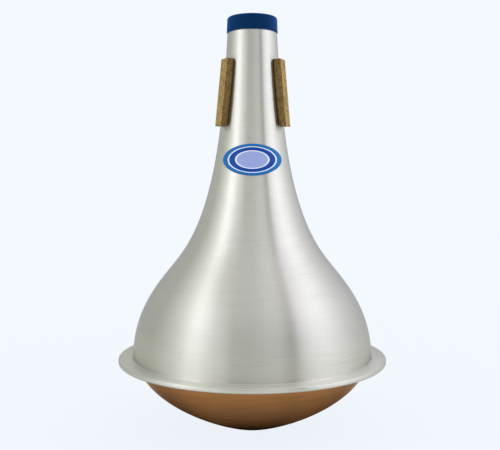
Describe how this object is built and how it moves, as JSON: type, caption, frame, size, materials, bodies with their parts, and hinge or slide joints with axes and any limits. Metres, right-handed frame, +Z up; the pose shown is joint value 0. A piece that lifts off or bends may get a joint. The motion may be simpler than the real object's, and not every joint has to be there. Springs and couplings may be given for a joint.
{
  "type": "trombone straight mute",
  "caption": "Bell-shaped spun aluminium trombone straight mute with a copper dish base, rubber throat ring, cork strips and a plain oval label.",
  "frame": {"origin": "centre of the flat in the middle of the copper dish, which the mute stands on", "axes": "+Z up the mute's axis towards its throat; -Y towards the label; +X to the right as the label is read"},
  "size_m": [0.17, 0.17, 0.2593],
  "materials": {
    "bell_aluminium": "spun and finely brushed round the axis, clear satin",
    "dish_copper": null,
    "ring_rubber": "matt navy blue",
    "cork": null,
    "label_vinyl": null
  },
  "bodies": {
    "root": {"body_shell": "bell_aluminium", "base_dish": "dish_copper", "throat_ring": "ring_rubber", "cork_strip_left": "cork", "cork_strip_right": "cork", "cork_strip_back": "cork", "oval_label": "label_vinyl"}
  },
  "joints": []
}
